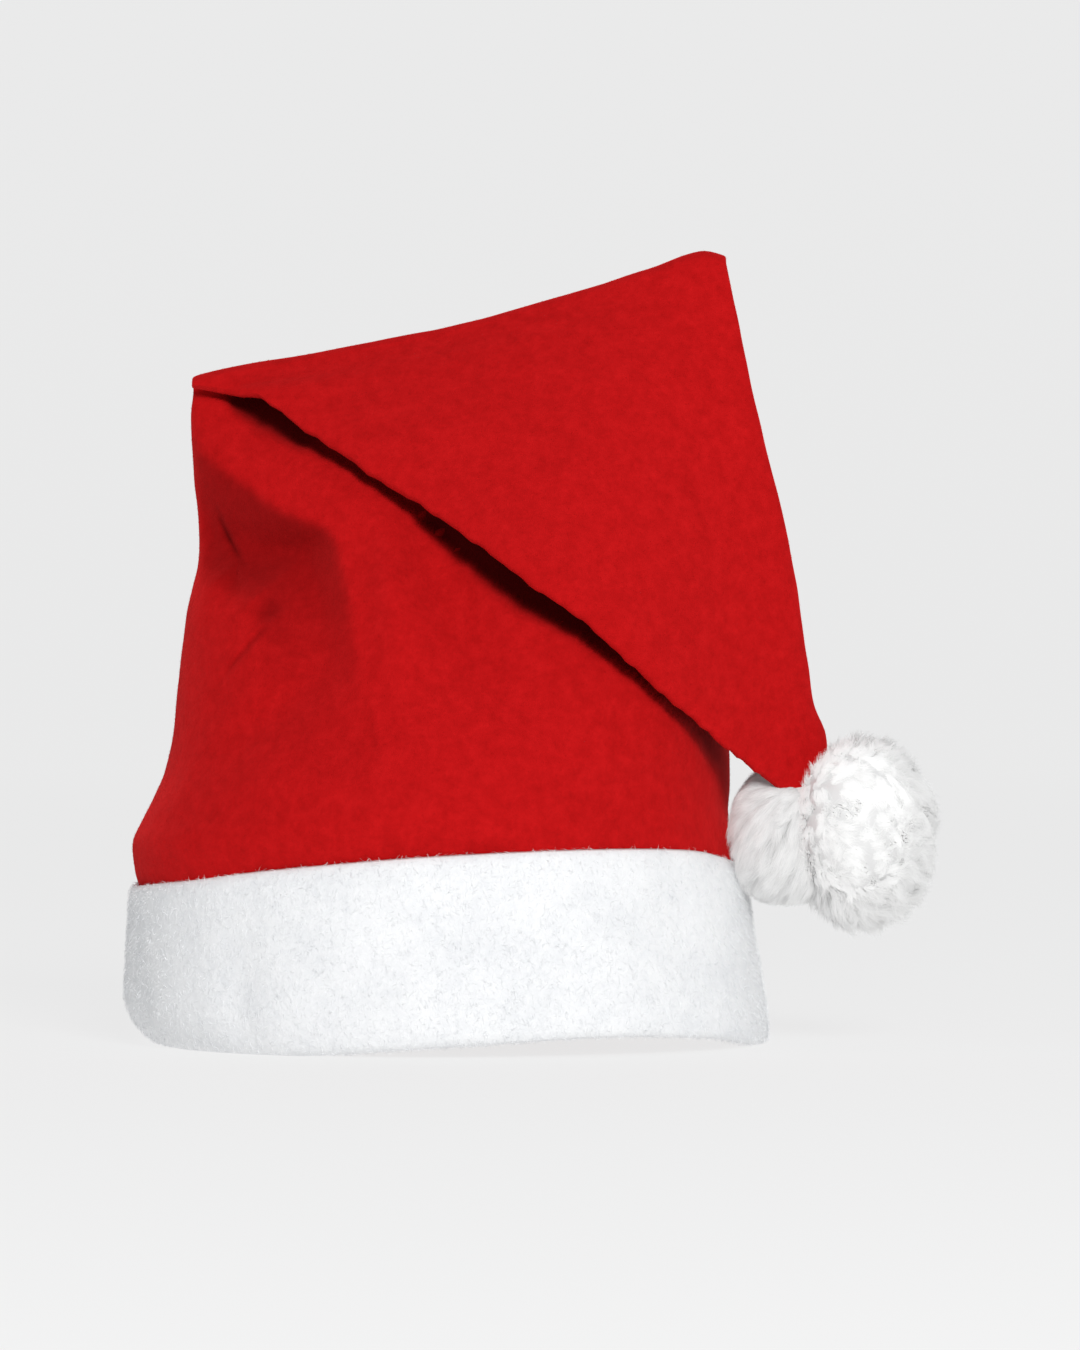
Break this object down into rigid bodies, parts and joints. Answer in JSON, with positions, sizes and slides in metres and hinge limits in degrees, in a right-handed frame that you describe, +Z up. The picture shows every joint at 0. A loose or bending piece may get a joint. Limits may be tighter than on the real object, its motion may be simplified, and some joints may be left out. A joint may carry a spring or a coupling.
{
  "type": "santa hat",
  "caption": "Soft felt santa hat with a padded plush band round the rim and its tall cone folded over to the front, a fluffy pompom sewn to the tip.",
  "frame": {"origin": "on the surface that the hat stands on, under the middle of its bounding box", "axes": "+Z up, out of the rim; -Y the front, where the folded cone hangs; +X the side on which the pompom hangs"},
  "size_m": [0.2828, 0.1906, 0.2768],
  "materials": {
    "red_felt": "matt brushed felt",
    "white_plush": "short soft pile",
    "white_fur": "long tufted pile"
  },
  "bodies": {
    "root": {"crown": "red_felt", "band": "white_plush", "pompom": "white_fur"}
  },
  "joints": []
}
